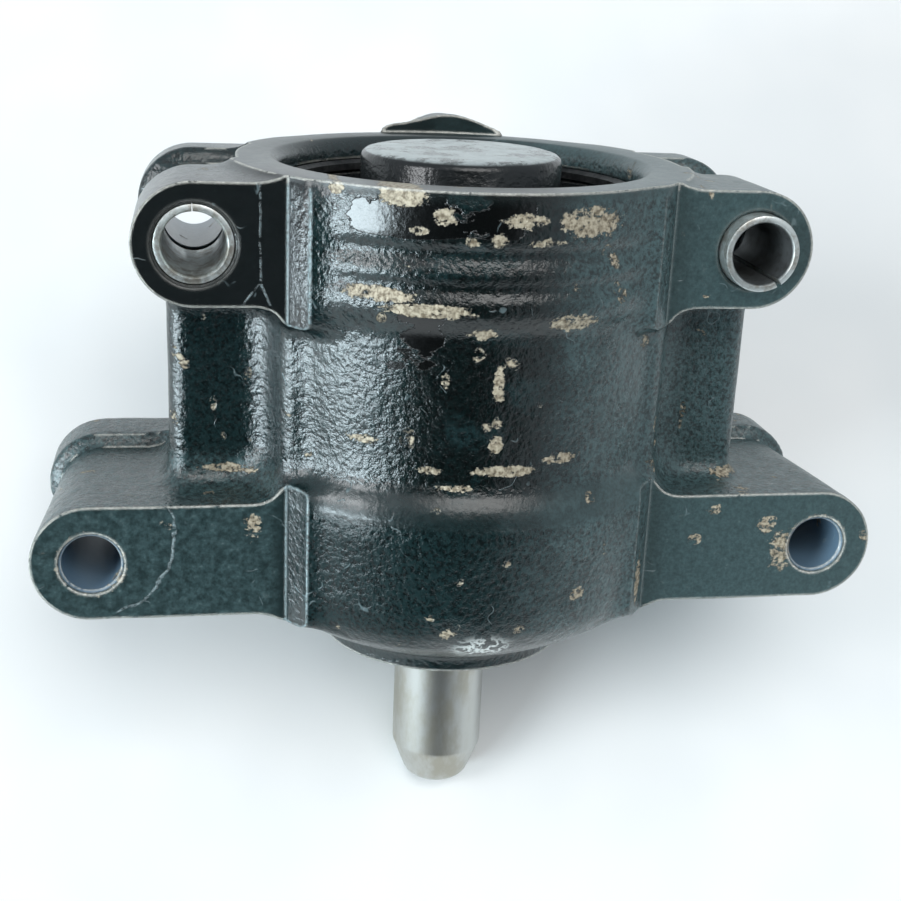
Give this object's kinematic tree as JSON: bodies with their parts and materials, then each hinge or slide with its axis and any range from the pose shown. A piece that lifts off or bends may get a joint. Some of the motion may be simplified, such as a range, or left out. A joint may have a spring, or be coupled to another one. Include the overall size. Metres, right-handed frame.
{
  "type": "hydraulic vane pump",
  "caption": "Belt-driven hydraulic vane pump: round iron body with through-bolt ears on both sides, plain press-fit drive shaft, open bore with a ring-retained end cover.",
  "frame": {"origin": "centre of the flat free end of the drive shaft", "axes": "+Z along the shaft axis, from its free end towards the end cover; -Y is the way the front faces of the ears look; +X is to the right for someone facing them"},
  "size_m": [0.1448, 0.1053, 0.1226],
  "materials": {
    "black_paint": "glossy black paint over cast iron, chipped and worn",
    "polished_steel": "ground and polished",
    "sleeve_steel": "bare rolled steel, dulled",
    "machined_iron": "ground",
    "spring_steel": "oiled",
    "bronze": "bored",
    "rubber": "moulded",
    "zinc_plate": "dull zinc plating"
  },
  "bodies": {
    "pump_body": {"housing": "black_paint", "shaft_seal": "rubber", "shaft_bushing": "bronze", "thrust_plate": "machined_iron", "cam_ring": "machined_iron", "pressure_plate": "machined_iron", "pressure_plate_o_ring": "rubber", "pressure_spring": "spring_steel", "end_cover": "black_paint", "end_cover_o_ring": "rubber", "retaining_ring": "spring_steel", "dowel_pin_front": "machined_iron", "dowel_pin_rear": "machined_iron", "flow_valve_spring": "spring_steel", "outlet_union": "zinc_plate", "outlet_union_o_ring": "rubber", "inlet_tube": "zinc_plate"},
    "rotating_group": {"drive_shaft": "polished_steel", "rotor": "machined_iron", "shaft_snap_ring": "spring_steel", "vane_01": "spring_steel", "vane_02": "spring_steel", "vane_03": "spring_steel", "vane_04": "spring_steel", "vane_05": "spring_steel", "vane_06": "spring_steel", "vane_07": "spring_steel", "vane_08": "spring_steel", "vane_09": "spring_steel", "vane_10": "spring_steel"},
    "valve_spool": {"flow_valve_spool": "machined_iron"},
    "sleeve_left": {"slip_sleeve_left": "sleeve_steel"},
    "sleeve_right": {"slip_sleeve_right": "sleeve_steel"}
  },
  "joints": [
    {"name": "shaft_spin", "type": "hinge", "parent": "pump_body", "child": "rotating_group", "pos_m": [0, 0, 0], "axis": [0, 0, 1], "continuous": true},
    {"name": "flow_valve_slide", "type": "slide", "parent": "pump_body", "child": "valve_spool", "axis": [-1, 0, 0], "range_m": [0, 0.005], "deforming": ["flow_valve_spring"]},
    {"name": "sleeve_left_slide", "type": "slide", "parent": "pump_body", "child": "sleeve_left", "axis": [0, 1, 0], "range_m": [-0.003, 0.003]},
    {"name": "sleeve_right_slide", "type": "slide", "parent": "pump_body", "child": "sleeve_right", "axis": [0, 1, 0], "range_m": [0, 0.006]}
  ]
}
